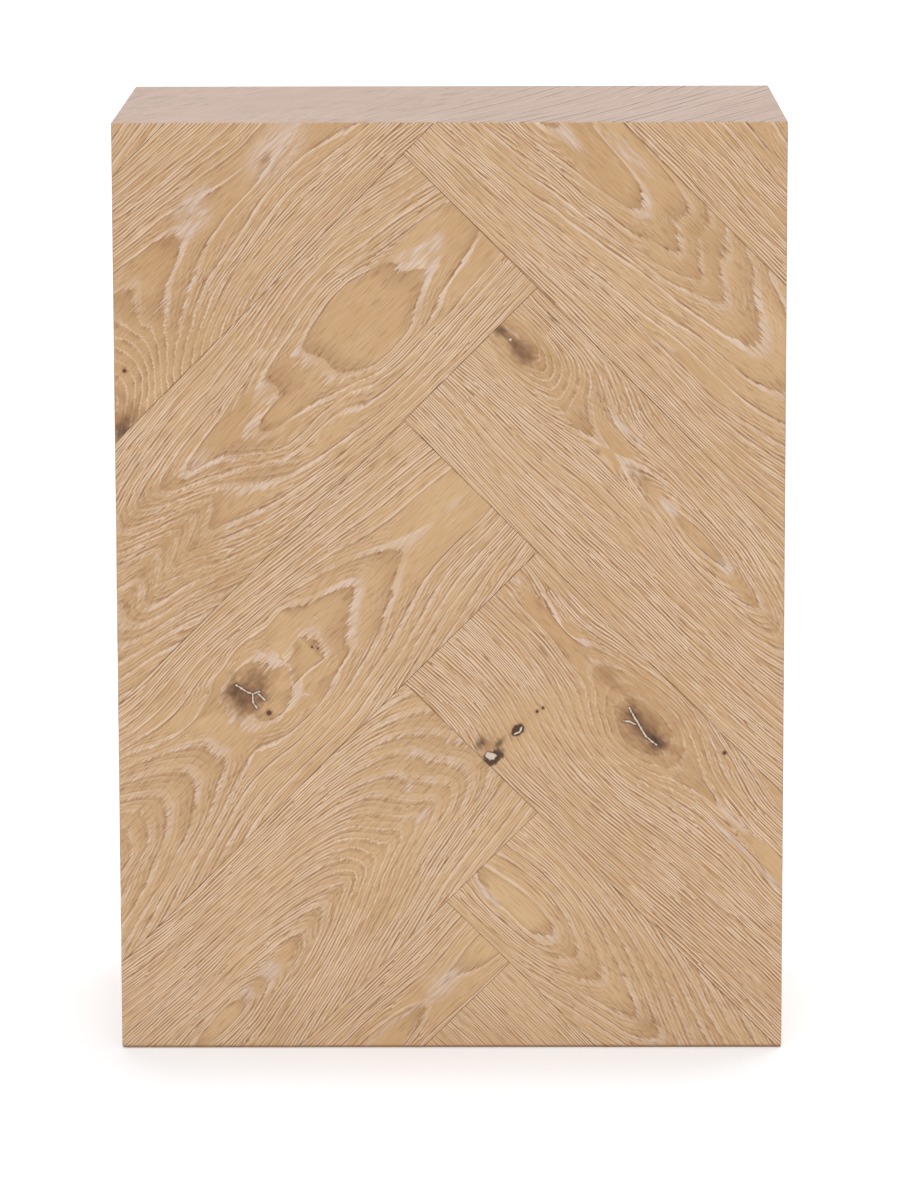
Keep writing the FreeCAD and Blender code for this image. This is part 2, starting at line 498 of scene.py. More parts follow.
def knotted(colour, place, along, across, marks, seed):
    """The colour with a plank's own stains, knots, pinholes and cracks laid over it."""
    ragged = cloud(place, 9, 5, seed + 40) * 0.3 + cloud(place, 3, 1.6, seed + 41) * 0.2
    for kind, tint, soft in KNOT_KINDS:
        for mark in marks.get(kind, []):
            rim = nearness(along, across, mark) + ragged
            colour = mixed((1 - smooth(rim, soft, KNOT_RIM)) * mark[4], colour, tint)
    for line in marks.get("checks", []):
        gap = distance_to(place, line) + cloud(place, 5, 0.8, seed + 43) * 0.7
        colour = mixed((1 - smooth(gap, *CHECK_EDGE)) * 0.5, colour, KNOT_CORE_AND_HOLE_SHADE)
    for hole in marks.get("pinholes", []):
        middle, level, half = hole
        rim = nearness(along, across, (middle, level, half, half)) + ragged * 0.5
        # A pinhole's brown ring is a stain, and its dark middle is painted shade inside the hole.
        colour = mixed((1 - smooth(rim, *PIN_STAIN)) * 0.5, colour, KNOT_EDGE)
        colour = mixed((1 - smooth(rim, *PIN_HOLE)) * 0.9, colour, KNOT_CORE_AND_HOLE_SHADE)
    for line in marks.get("cracks", []):
        gap = distance_to(place, line) + cloud(place, 1.4, 1.4, seed + 42) * 0.35
        colour = mixed((1 - smooth(gap, *CRACK_STAIN)) * 0.7, colour, KNOT_CORE_AND_HOLE_SHADE)
        colour = mixed(1 - smooth(gap, *CRACK_PASTE), colour, FILLER)
    for fill in marks.get("fills", []):
        middle, level, half = fill
        rim = nearness(along, across, (middle, level, half, half)) + ragged * 2
        colour = mixed((1 - smooth(rim, *FILL_EDGE)) * 0.95, colour, FILLER)
    return colour


# %% [markdown]
# ## One board, layer by layer
# The finish is laid on as a maker would: plain wood, the brown of the late wood, lime in the pores and
# furrows, and the knots. Painted shade comes on top: a dark side to each furrow, and a darker line
# along the foot, where the block stands on the floor. A board can change the recipe. Tone is its
# colour, and on the bottom planks it is partly painted light, set lighter to make up for the dimmer
# light near the floor. Bands are the lime in its rings, and brushed, pores and flecks the strength of
# its furrows, its pores and its long dark flecks. Bold and run are the width and length of its dark
# ring lines, and dark_lines their strength. Past a gap of plain_from millimetres its rings fade into
# plain wood.

# %% Limed oak
UPRIGHT = ((0, 0, 0), (1, 0, 0), (0, 0, 1))
# Heights in millimetres over which the painted shade along the foot fades out.
PAINTED_FOOT_SHADE = (0.9, 2.2)
STROKE = (9, 0.7)
LONG_STROKE = (24, 1.0)
PATCH_EDGE = (0.6, 1.05)
LIME_LINE_EDGE = (0.7, 1.3)
CALM_EDGE = (0.6, 1.3)
FLECK_GAPS = (6.0, 20.0)
FLECK_ENDS = (38.0, 52.0)
SATIN = 0.45
GLOSS = 0.3
PORE_DEPTH = 0.00005


def limed_oak(name, lay, seed, marks, oak):
    """The material of one board of brushed, limed oak, with its own rings and marks."""
    material, start = new_material(name)
    along, across = measured(start, lay)
    place = start.node("ShaderNodeCombineXYZ", {}, {"X": along, "Y": across})
    strokes = cloud(place, *STROKE, seed + 1) * 0.9 + cloud(place, *LONG_STROKE, seed + 2) * 0.6
    hatch = smooth(strokes, *HATCHED)
    height, along_slope, across_slope = ring_map_on(place, seed)
    bold = marks.get("bold", 1.0)
    run = marks.get("run", 25)
    bands = ring_bands(place, height, along_slope, across_slope, strokes, seed, bold, run)
    lime, edge, hairline, gap, crossing, open_tip = bands
    if "plain_from" in marks:
        shown = 1 - smooth(gap, marks["plain_from"], marks["plain_from"] * 2)
        lime = lime * shown
        edge = edge * shown
        hairline = hairline * shown
    lime = lime * ((1 - open_tip) * (marks.get("bands", 1.0) - 1) + 1)
    chalky = open_tip
    covers = []
    for patch in marks.get("lime", []):
        covers.append(1 - smooth(nearness(along, across, patch) + strokes * 0.6, *PATCH_EDGE))
    for line in marks.get("lime_lines", []):
        covers.append(1 - smooth(distance_to(place, line) + strokes * 1.2, *LIME_LINE_EDGE))
    for cover in covers:
        lime = lime + cover * (hatch * 0.7 + 0.2)
        chalky = chalky + cover

    busy = (1 - smooth(gap, *BUSY_GAPS)) * (1 - crossing * 0.9)
    busy = busy * (smooth(cloud(place, 60, 16, seed + 26), -0.35, 0.25) * 0.5 + 0.5)
    busy = busy * marks.get("brushed", 1.0)
    for mark in marks.get("calms", []):
        calm = 1 - smooth(nearness(along, across, mark) + strokes * 0.3, *CALM_EDGE)
        busy = busy * (1 - calm * mark[4])
    furrow, shaded = furrows(place, along, height, gap, seed)
    furrow = furrow * busy
    shaded = shaded * busy
    pores = marks.get("pores", 1.0)
    pale_pores = smooth(strokes, 0.24, 0.5) * (busy * 0.2 + 0.11) * pores
    short = cloud(place, *STROKE, seed + 23)
    dark_pores = smooth(short, 0.2, 0.42) * (busy * 0.25 + chalky * 0.15 + 0.15) * pores
    if "flecks" in marks:
        flecks = smooth(cloud(place, 30, 1.1, seed + 27), 0.26, 0.46)
        flecks = flecks * smooth(gap, *FLECK_GAPS) * (1 - smooth(gap, *FLECK_ENDS))
        dark_pores = dark_pores + flecks * marks["flecks"]

    tone = cloud(place, 50, 12, seed + 24) * 0.22 + cloud(place, 160, 40, seed + 25) * 0.25
    tone = tone + strokes * 0.12 + marks.get("tone", 0.5)
    colour = mixed(tone, oak["dark"], oak["light"])
    # The brown mixed in here is partly the wood's own, in ring edges, pores and hairlines, and partly
    # painted shade on the furrows' shaded side.
    late_wood_and_shade = edge + dark_pores + hairline * marks.get("dark_lines", 0.75) + shaded * 0.85
    colour = mixed(late_wood_and_shade, colour, oak["late_wood_and_shade"])
    pale = mixed(chalky, oak["lime"], oak["chalk"])
    colour = mixed(lime * 0.9 + furrow + pale_pores, colour, pale)
    colour = knotted(colour, place, along, across, marks, seed)
    above_floor = measured(start, UPRIGHT)[1]
    # Painted shade: the wood within about two millimetres of the floor is darkened towards the late wood's
    # brown, as the shadow where the block stands on the floor.
    colour = mixed((1 - smooth(above_floor, *PAINTED_FOOT_SHADE)) * 0.6, colour, oak["late_wood_and_shade"])

    bump = {"Strength": 0.12, "Distance": PORE_DEPTH, "Height": hatch * -0.7}
    normal = start.node("ShaderNodeBump", {}, bump)
    skin = start.node("ShaderNodeBsdfPrincipled", {}, {
        "Base Color": colour,
        "Roughness": lime * 0.08 + SATIN,
        "Specular IOR Level": GLOSS,
        "Normal": normal,
    })
    start.node("ShaderNodeOutputMaterial", {}, {"Surface": skin})
    return material


# %% [markdown]
# ## The twelve planks of the front
# Left planks run up to the right and right planks run down to the right, both at 45 degrees from the
# topmost corner of the zigzag. Ring points are given in millimetres along and across a plank's own
# grain from that corner. A ring's number falls going outwards from the heart of its arches, and a
# number with a part between rings pins the height where a patch lies flat.

# %% Lay of the planks
HALF_TURN = math.sqrt(0.5)
APEX = (-0.022, -0.1, 0.435)
LEFT_LAY = (APEX, (HALF_TURN, 0, HALF_TURN), (-HALF_TURN, 0, HALF_TURN))
RIGHT_LAY = (APEX, (HALF_TURN, 0, -HALF_TURN), (HALF_TURN, 0, HALF_TURN))

# %% Rings of the left planks
LEFT_RINGS = {
    "left_plank_1": {
        2: [(-90, 107), (-75, 110)],
        1: [(-100, 100), (-70, 105)],
        0: [(-108, 93), (-66, 99)],
        -1: [(-108, 87), (-66, 93)],
    },
    "left_plank_2": {
        9: [(-161, 17), (-166, 10)],
        8: [(-155.3, 28)],
        7: [(-151, 32), (-153, 17), (-159, 9), (-166, 2)],
        6: [(-145, 50), (-138, 49), (-144, 36), (-146, 31), (-147, 18), (-153, 10), (-160, 3)],
        5: [(-125, 56.5), (-105, 43), (-129, 32), (-142, 19), (-149, 11.5), (-156, 4)],
        4: [(-98, 59.5), (-81, 53), (-60, 39.3), (-95, 35.5), (-124, 22.5), (-135, 15.5), (-153, 2.5)],
        3: [(-125, 66), (-90, 62.5), (-75, 60.5), (-38, 57.5), (-5, 24.5), (-12, 28), (-45, 33.2),
            (-62, 32), (-108, 23.5), (-120, 19)],
        2: [(-48, 61.5), (0, 20.5), (-20, 23), (-80, 22), (-100, 19.3), (-138, 3)],
        1: [(-30, 19), (-110, 12.5), (-125, 6.5)],
        0: [(-30, 15.5), (-70, 15.5), (-100, 12), (-128, 2)],
        -1: [(-70, 78)],
        -2: [(-104, 86), (-78, 84), (15, 6), (-106, 4)],
        -3: [(-100, 89.5), (-40, 5)],
        -4: [(0, 1.5)],
    },
    "left_plank_3": {
        3.4: [(-68, -43)],
        3: [(-98, -30), (-91, -56), (-83, -61), (-57, -61), (-29, -48.5), (-38, -44), (-41, -38),
            (-46, -28), (-56, -25)],
        2: [(-5, -29), (-45, -23), (-70, -18.5), (-100, -23), (-121, -35), (-124, -40), (-142, -46),
            (-128, -51.5), (-112, -55), (-100, -60), (-80, -65.5), (-35, -60), (-10, -55)],
        1: [(-50, -16.5), (-65, -15), (-80, -15), (-95, -16.5), (-110, -19.5), (-125, -22), (-140, -24.5),
            (-181, -35), (-162, -41), (-146, -56), (-138, -59.5), (-100, -62), (-78, -69), (-60, -69.5),
            (-40, -69.5), (-20, -68), (0, -66.5)],
        0: [(0, -20.5), (-45, -11), (-60, -9.7), (-75, -10), (-110, -16.5), (-130, -20), (-150, -22),
            (-190, -38), (-150, -57.5), (-143, -62), (-120, -65), (-40, -73), (-20, -72)],
        -1: [(-20, -11), (-60, -7), (-200, -23.5), (-209, -26.5), (-203, -36), (-192, -41.5), (-182, -46),
            (-174, -50), (-168, -54), (-100, -79), (-80, -80), (-50, -79), (-20, -77), (0, -75.5)],
        -2: [(-30, -6), (-135, -12), (-160, -13.5), (-195, -19), (-210, -22.5), (-182, -50.5), (-186, -55),
            (-194, -61), (-140, -78.5), (-120, -81), (-95, -83), (-60, -83.5)],
        -3: [(-30, -2), (-95, -3.5), (-140, -9), (-160, -10), (-180, -12), (-231, -34), (-222, -39),
            (-210, -44), (-200, -47.5), (-192, -51), (-211, -61), (-172, -77.5), (-140, -82),
            (-115, -84.5)],
        -4: [(0, -4), (-165, -6), (-185, -7.5), (-205, -11.5), (-233, -38), (-220, -43), (-210, -47),
            (-203, -51), (-212, -57), (-220, -61.5), (-211, -65), (-180, -79)],
        -5: [(-202, -7), (-180, -4.5), (-125, -0.5), (-222, -57), (-220, -66), (-200, -76.5), (-150, -88)],
        -6: [(-245, -50), (-235, -59), (-242, -64), (-230, -70), (-215, -74)],
        -7: [(-247, -57), (-252, -66), (-210, -81)],
        -9: [(-230, -86.5)],
        -10: [(-275, -82), (-255, -85.5)],
    },
    "left_plank_4": {
        7: [(-327, -131), (-329, -142), (-334, -147)],
        6: [(-335, -151)],
        5: [(-317, -124), (-309, -129), (-304, -141), (-311, -148)],
        4: [(-284, -139), (-304, -157.5), (-330, -166)],
        3.6: [(-237, -131)],
        3.3: [(-200, -137)],
        3.02: [(-243, -122), (-235, -118), (-223, -130), (-226, -139), (-234, -149), (-243, -142)],
        3.01: [(-206, -133), (-199, -128), (-197, -144.5), (-204, -143)],
        3: [(-297, -117), (-287, -122), (-270, -133), (-269, -147), (-315, -166), (-335, -171)],
        2.45: [(-258, -138), (-252, -128)],
        2.3: [(-205, -149), (-205, -121), (-190, -124), (-186, -138)],
        2: [(-303, -109), (-290, -115), (-280, -119), (-250, -116.5), (-243, -113), (-235, -113),
            (-225, -111), (-206, -114.2), (-198, -113), (-163, -129), (-178, -141), (-187, -146.3),
            (-183.5, -149.5), (-215, -158.5), (-238, -157.5), (-254, -152)],
        1: [(-270, -111.5), (-140, -127.5), (-147, -140.5), (-220, -163.5), (-275, -164)],
        0: [(-295, -103), (-260, -105), (-220, -104), (-200, -105.5), (-160, -111), (-145, -116),
            (-92, -121.5), (-92, -149.8), (-160, -158), (-180, -163.5), (-220, -170), (-245, -169.5),
            (-290, -173)],
        -1: [(-260, -99), (-240, -98), (-200, -101), (-180, -103.5), (-160, -106.5), (-115, -156),
            (-150, -163), (-170, -168), (-240, -174.5)],
        -2: [(-240, -94.5), (-120, -106), (-140, -165)],
        -3: [(-270, -91.5), (-150, -98), (-150, -172)],
        -4: [(-140, -176)],
        -5: [(-130, -92), (-100, -94.5), (-92, -174)],
    },
    "left_plank_5": {
        12: [(-343, -234), (-354, -230.7), (-373, -231.5), (-351, -239), (-366, -239.6)],
        11: [(-329, -234.6), (-343, -228.5), (-360, -227.4), (-380, -227.4), (-337.5, -240.7),
             (-346, -243), (-368, -244)],
        10: [(-303, -231), (-326, -226.5), (-340, -225), (-357, -223.5), (-377, -222.4), (-308, -237.5),
             (-316, -240), (-326, -242.4), (-340, -244.8), (-365, -247.8)],
        9: [(-295, -225), (-291, -234), (-330, -246)],
        8: [(-330, -214.5), (-308, -217.5), (-270, -229.5), (-330, -249)],
        7: [(-272, -221.5), (-268, -233)],
        6: [(-280, -213.5), (-261, -233.5), (-273, -239)],
        5: [(-330, -206.5), (-295, -207.5), (-275, -210), (-264, -213), (-256, -218.5), (-255, -233),
            (-268, -239.5)],
        4: [(-268, -208.5), (-257, -212.5), (-250, -219), (-245, -226), (-241, -229.5), (-263, -241),
            (-330, -261)],
        3: [(-285, -202.5), (-250, -210.5), (-256, -240.5)],
        2: [(-330, -197), (-228, -225), (-222, -229.5), (-230, -234.5), (-330, -266)],
        1: [(-216, -226), (-211, -229.5), (-216, -235.5), (-265, -251)],
        0: [(-330, -191), (-230, -243), (-290, -261)],
        -1: [(-330, -187.5), (-205, -203), (-193, -236)],
        -2: [(-195, -200), (-185, -213), (-210, -248)],
        -3: [(-330, -181.5), (-200, -187.5), (-182, -249)],
    },
    "left_plank_6": {
        1.5: [(-300, -299)],
        1.4: [(-248, -299)],
        1: [(-293, -294.5), (-285, -298.5), (-308, -306.5), (-255, -292.3), (-262, -301), (-243, -306.5)],
        0.93: [(-277, -294), (-270, -303.5)],
        0: [(-330, -283.5), (-268, -287.5), (-300, -311), (-243, -313)],
        -1: [(-300, -279.8)],
        -2: [(-300, -276), (-243, -274.5)],
        -3: [(-330, -271.5), (-243, -270.5)],
    },
}

# %% Rings of the right planks
RIGHT_RINGS = {
    "right_plank_1": {
        6: [(113, 134), (128, 131)],
        5: [(103, 125), (138, 121)],
        4: [(92, 117.5), (145, 114.5)],
        3: [(85, 111.5), (150, 110.5)],
        2: [(60, 104.5), (155, 103)],
        1: [(60, 99), (150, 98)],
        0: [(60, 95), (150, 93)],
        -2: [(60, 87), (150, 85.5)],
    },
    "right_plank_2": {
        5: [(44, 62)],
        4: [(55, 73), (98, 57.5), (60, 51.5), (33, 47.5)],
        3: [(80, 83), (117, 74), (114, 70), (126, 61), (110, 54), (90, 48), (30, 44.5)],
        2: [(126, 80), (127, 75), (138, 62), (143, 58.5), (128, 49), (118, 46.5), (105, 44.5), (90, 43),
            (75, 41.5), (40, 39), (25, 37), (15, 36)],
        1: [(136, 80.5), (143, 73), (141, 70), (145, 50), (130, 45.5), (118, 44), (105, 42.5), (90, 41),
            (75, 39), (60, 37.5), (30, 33), (15, 32)],
        0: [(158, 78), (164, 70.5), (182, 50.5), (110, 38), (95, 36), (80, 33), (60, 30), (30, 27)],
        -1: [(165, 81.5), (182, 76), (182, 38.5), (140, 33), (75, 26), (40, 23), (3, 21)],
        -2: [(182, 30.5), (160, 29.8), (145, 28), (90, 22), (70, 20)],
        -3: [(182, 20.5), (160, 21), (140, 20.5), (45, 15)],
        -4: [(160, 17.5), (130, 17), (100, 15.5), (10, 11.5)],
        -5: [(182, 12.5), (150, 14), (70, 10.7)],
        -6: [(182, 9.5), (150, 10), (100, 8.5)],
        -7: [(10, 4.5)],
        -8: [(100, 3), (40, 2)],
    },
    "right_plank_3": {
        9: [(107, -19), (112, -21), (115, -25)],
        8: [(109, -18), (114, -20)],
        7: [(112, -16), (118, -18), (125, -25), (125, -28)],
        6: [(117, -15), (128.5, -25)],
        5: [(134.5, -30), (126, -34)],
        4.4: [(230, -31)],
        4: [(128, -11), (137, -19), (140, -29), (140, -35), (133, -37), (124, -38), (206, -29.7),
            (248, -29.5), (240, -34), (213, -32)],
        3: [(130, -9), (138, -13), (143, -19), (158, -33.5), (150, -35.5), (110, -41), (182, -30),
            (195, -24.5), (235, -23.5), (262, -28.5), (250, -40), (225, -39.5), (212, -37.5), (200, -36.5)],
        2: [(95, -6), (125, -5.5), (150, -13), (157, -17), (186, -19.5), (200, -19), (220, -20),
            (240, -21), (272, -26), (283, -30), (290, -35), (284, -40), (272, -43), (235, -43),
            (215, -40.5), (200, -39), (180, -38.5), (140, -41), (95, -45)],
        1: [(95, -2), (140, -4), (165, -15), (250, -18), (288, -29), (180, -42), (210, -44), (265, -46.5),
            (288, -45)],
        0: [(200, -12.5), (235, -13), (262, -16.5), (280, -21)],
        -1: [(175, -7.5), (270, -13.5), (90, -56), (170, -51.5)],
        -2: [(180, -4), (220, -5.5), (140, -60), (180, -57), (220, -56), (260, -57)],
        -3: [(180, -1), (230, -2.5), (90, -62)],
        -4: [(250, -65.5)],
        -5: [(210, -70.5)],
        -10: [(90, -86), (150, -89), (288, -90)],
    },
    "right_plank_4": {
        5.7: [(277, -115)],
        5: [(259, -114), (262, -121), (272, -125.5), (285, -124), (293, -116), (290, -108), (266, -106)],
        4: [(252, -112), (285, -101), (300, -114), (296, -122), (270, -128.5), (258, -123)],
        3: [(239, -109.5), (260, -99.5), (312, -110), (325, -113.5), (308, -122), (272, -130.5),
            (262, -127), (252, -121.5)],
        2.95: [(183, -107)],
        2.93: [(340, -115.5)],
        2: [(183, -99.5), (195, -102.5), (228, -105.8), (231, -103), (285, -95.5), (300, -99.5),
            (312, -105), (325, -109.5), (345, -111.5), (365, -112), (183, -112.5), (195, -114.5),
            (222, -116.8), (232, -118.5), (240, -119.5), (256, -129), (266, -132.8), (308, -126),
            (320, -123.5), (380, -124.5)],
        1: [(240, -95.5), (285, -92), (180, -119.5), (215, -119.8), (250, -129), (278, -137), (295, -134),
            (355, -126.5)],
        0: [(183, -92.5), (225, -94), (245, -91.5), (330, -99), (384, -132)],
        -1: [(345, -97), (205, -127.5), (250, -138), (300, -141.5), (320, -138)],
        -2: [(180, -132), (220, -134), (250, -142), (280, -146.5), (320, -141.5)],
        -4: [(250, -148)],
        -7: [(222, -150), (245, -157), (290, -160)],
        -10: [(180, -159), (243, -167), (290, -168)],
        -13: [(180, -169), (222, -169), (243, -176), (275, -175), (384, -172)],
    },
    "right_plank_5": {
        5: [(270, -217.5), (319, -219), (307, -225), (292, -224.5)],
        4.93: [(286, -227.5)],
        4: [(270, -208.5), (325, -225), (295, -230.5), (272, -230)],
        3: [(300, -198.5), (335, -206.5), (349.5, -217), (328, -230.5)],
        2: [(376, -216.5), (345, -229), (330, -233)],
        1: [(386, -222.5), (376, -227.5), (290, -241)],
        0: [(270, -186), (345, -191.5), (385, -206.5), (402, -212.5), (377, -232.5)],
        -1: [(270, -182.5), (405, -208)],
        -2: [(335, -181), (412, -203)],
        -4: [(400, -185.5)],
    },
    "right_plank_6": {
        0: [(313, -245), (380, -246)],
        -10: [(313, -280), (380, -280)],
    },
}

# %% [markdown]
# ## Marks of each plank
# The planks also have what a height map cannot give: knots with filled cracks, pinholes, dark checks,
# and patches where the lime lies thick. Each one is listed, again in millimetres along and across
# the grain. Halos are brown stains, knots and darks are softly edged, and plugs have a crisp rim. These
# four have a middle, two half lengths and a strength, and so has a calm, where the brush left no
# furrows. A lime patch has a middle and two half lengths, a pinhole or a fill has a middle and a
# radius, and a check, a crack or a lime line is a run of points.

# %% Marks on the planks
# The tones of left_plank_5, left_plank_6, right_plank_5 and right_plank_6 are partly their own colour and
# partly painted light: set lighter to make up for the dimmer light near the floor.
PLANK_MARKS = {
    "left_plank_2": {
        "tone": 0.4,
        "bands": 1.15,
        "halos": [(-184, 5, 12, 9, 0.9), (-177, 16, 3, 6, 0.6)],
        "darks": [(-189, 2, 10, 5, 0.8)],
        "calms": [(-152, 12, 26, 24, 0.75)],
        "pinholes": [(-167, 21, 1.0)],
        "lime": [(-40, 44.5, 25, 13), (-92, 47, 13, 7), (-87, 55, 14, 5)],
    },
    "left_plank_3": {
        "bands": 1.35,
        "lime": [(-172, -34, 9, 4), (-32, -48, 5, 3)],
    },
    "left_plank_4": {
        "tone": 0.64,
        "bands": 1.25,
        "halos": [(-237.5, -130, 15, 14, 0.6)],
        "knots": [(-237.5, -130, 12, 11, 0.95)],
        "darks": [(-239, -124, 6, 4, 0.7), (-233, -135, 4, 5, 0.4), (-242, -131, 4, 6, 0.35)],
        "calms": [(-237, -131, 22, 20, 1.0), (-200, -135, 16, 14, 1.0)],
        "pinholes": [(-236.5, -144, 1.5), (-199, -136, 0.7), (-197.5, -138.5, 0.7)],
        "cracks": [
            [(-238, -123.5), (-236.5, -130), (-235.5, -132), (-232.5, -133.5)],
            [(-235.5, -132), (-238.5, -135), (-239, -138.5)],
            [(-233.5, -134), (-233.5, -138)],
        ],
        "lime_lines": [
            [(-219, -119), (-217, -127), (-213, -135), (-218, -141), (-220, -147), (-217, -151)],
        ],
    },
    "left_plank_5": {
        "tone": 0.78,
        "bands": 1.1,
        "brushed": 1.2,
        "lime": [
            (-326.5, -233.5, 7, 6), (-342.5, -233.5, 5, 4), (-219, -232, 8, 2), (-214.5, -217.5, 4, 3),
        ],
    },
    "left_plank_6": {
        "tone": 0.78,
        "bands": 1.2,
        "brushed": 1.2,
        "lime": [(-272, -298, 15, 7.5)],
        "lime_lines": [[(-284, -298), (-306, -293.4), (-322, -292.8)]],
    },
    "right_plank_2": {
        "tone": 0.56,
        "calms": [(132, 66, 26, 18, 0.8)],
        "lime": [(76, 75.5, 20, 4.5), (51, 61, 12, 3.5)],
    },
    "right_plank_3": {
        "tone": 0.54,
        "brushed": 1.25,
        "halos": [(104, -26, 18, 9, 0.7)],
        "knots": [(106, -26.5, 11, 5.5, 0.55)],
        "darks": [(92, -27.5, 6, 3.5, 0.75), (107, -27.5, 8, 3, 0.4), (99, -27, 8, 2, 0.4)],
        "calms": [(104, -26, 22, 12, 0.8)],
        "fills": [(98.5, -26.8, 0.8)],
        "checks": [[(102, -5.3), (110, -5.3)]],
        "lime": [(170, -18.5, 14, 2.2), (186, -30.5, 6, 2.5), (210, -30.5, 8, 2.5), (248, -31.5, 6, 3)],
    },
    "right_plank_4": {
        "bands": 0.8,
        "brushed": 1.2,
        "halos": [
            (277, -115, 27, 16, 0.6), (247.5, -108.5, 10, 6, 0.6), (294, -111.6, 8, 3, 0.6),
            (230, -173, 9, 6, 0.7), (234.5, -157.5, 5, 7, 0.5),
        ],
        "knots": [(277, -115, 18, 9, 0.6)],
        "darks": [
            (269.5, -113, 7, 3.5, 0.6), (285, -114.5, 7, 4.5, 0.95), (277, -115.5, 13, 3, 0.5),
            (233, -169, 2.5, 5, 0.8), (226.5, -175.5, 3.5, 4, 0.8),
        ],
        "plugs": [(234.5, -157.5, 2.6, 3.9, 0.95), (236, -175.5, 3.6, 4.6, 0.95)],
        "calms": [(275, -115, 48, 22, 0.8), (235, -160, 9, 28, 1.0)],
        "pinholes": [(235.5, -141.8, 0.9), (234.8, -145, 0.9), (313, -95.7, 1.0)],
        "cracks": [
            [(265, -112.5), (270, -114), (275, -115.3), (280, -116.7), (284, -116.5), (287, -116)],
            [(273, -116), (270, -117), (267.5, -119)],
            [(235, -155.5), (236, -158), (235, -160.5)],
        ],
        "fills": [(235, -175.5, 2.4)],
        "lime": [
            (182, -107, 5, 2.5), (227.5, -105, 4, 2.5), (340, -115.5, 13, 2.5), (346, -123, 16, 1.5),
            (374, -123.5, 9, 1.8),
        ],
    },
    "right_plank_5": {
        "tone": 0.86,
        "halos": [(382, -215, 12, 7, 0.35)],
        "lime": [(281, -225.5, 10, 2.8)],
    },
    "right_plank_6": {
        "tone": 0.8,
        "bands": 0.8,
    },
}

# %% [markdown]
# ## Easing the edges
# A joiner runs fine sandpaper along every edge, so that two planks meet in a hairline groove and not in
# a razor edge. A packed board is loose triangles, so a copy is merged and its flat faces made whole
# before the bevel. The easing is only a tenth of a millimetre: a wider one would read as a V-joint.
# The copy is then cut into a fine grid along and across the grain, so that the mesh has points enough
# to carry the ring map.

# %% Eased copies
EASE = 0.0001
CLOSING = 0.00005
FLAT = math.radians(1)
SHARP = math.radians(30)
SLOPE_STEP = 0.5
SAME_SPOT = 1e-6
LEANING = 0.45


def carry_rings(mesh, lay, rings):
    """Keep the ring map and its slopes along and across the grain on a mesh's points."""
    origin, along, across = (np.array(part, float) for part in lay)
    spots = np.empty(3 * len(mesh.vertices))
    mesh.vertices.foreach_get("co", spots)
    off = (spots.reshape(-1, 3) - origin) * MM_PER_METRE
    a = off @ along
    c = off @ across
    height = ring_map(rings)
    along_slope = (height(a + SLOPE_STEP, c) - height(a - SLOPE_STEP, c)) / (2 * SLOPE_STEP)
    across_slope = (height(a, c + SLOPE_STEP) - height(a, c - SLOPE_STEP)) / (2 * SLOPE_STEP)
    values = np.stack([height(a, c), along_slope, across_slope], axis=1)
    kept = mesh.attributes.new("rings", "FLOAT_VECTOR", "POINT")
    kept.data.foreach_set("vector", values.ravel())


def tighten(shape):
    """Push the faces that butt on a neighbour outwards, so that the joints close to a hairline."""
    joints = [face for face in shape.faces if abs(face.normal.x * face.normal.z) > LEANING]
    for face in joints:
        bmesh.ops.translate(shape, verts=face.verts, vec=face.normal * CLOSING)


def kept_inside(shape):
    """Bring points that were pushed past the CAD model's box back to it."""
    for vert in shape.verts:
        for axis in range(3):
            vert.co[axis] = min(max(vert.co[axis], cad_box[0][axis]), cad_box[1][axis])


def eased(name, lay, rings, step, material):
    """A copy of a packed board with eased edges, cut into a grid that carries its rings."""
    shape = bmesh.new()
    shape.from_mesh(boards[name].data)
    bmesh.ops.remove_doubles(shape, verts=shape.verts, dist=SAME_SPOT)
    bmesh.ops.dissolve_limit(shape, angle_limit=FLAT, verts=shape.verts, edges=shape.edges)
    tighten(shape)
    sharp = [edge for edge in shape.edges if edge.is_manifold and edge.calc_face_angle() > SHARP]
    bmesh.ops.bevel(
        shape, geom=sharp, offset=EASE, offset_type="OFFSET", affect="EDGES",
        segments=2, profile=0.5, material=-1, clamp_overlap=True,
    )
    kept_inside(shape)
    for direction in (Vector(lay[1]), Vector(lay[2])):
        reach = [vert.co.dot(direction) for vert in shape.verts]
        for cut in np.arange(min(reach) + step, max(reach), step):
            geom = shape.verts[:] + shape.edges[:] + shape.faces[:]
            spot = direction * float(cut)
            bmesh.ops.bisect_plane(
                shape, geom=geom, dist=SAME_SPOT, plane_co=spot, plane_no=direction)
    piece = bpy.data.objects.new("eased_" + name, bpy.data.meshes.new("eased_" + name))
    shape.to_mesh(piece.data)
    shape.free()
    carry_rings(piece.data, lay, rings)
    scene.collection.objects.link(piece)
    piece.data.materials.append(material)
    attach(piece, "root")
    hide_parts(name)
    print(piece.name, len(sharp), "edges eased,", len(piece.data.polygons), "faces")
    return piece


# %% Planks of the front
PLANK_STEP = 0.003
for seed, (name, rings) in enumerate(LEFT_RINGS.items(), start=1):
    material = limed_oak("limed_oak_" + name, LEFT_LAY, seed, PLANK_MARKS.get(name, {}), HONEY_OAK)
    eased(name, LEFT_LAY, rings, PLANK_STEP, material)
for seed, (name, rings) in enumerate(RIGHT_RINGS.items(), start=11):
    material = limed_oak("limed_oak_" + name, RIGHT_LAY, seed, PLANK_MARKS.get(name, {}), HONEY_OAK)
    eased(name, RIGHT_LAY, rings, PLANK_STEP, material)
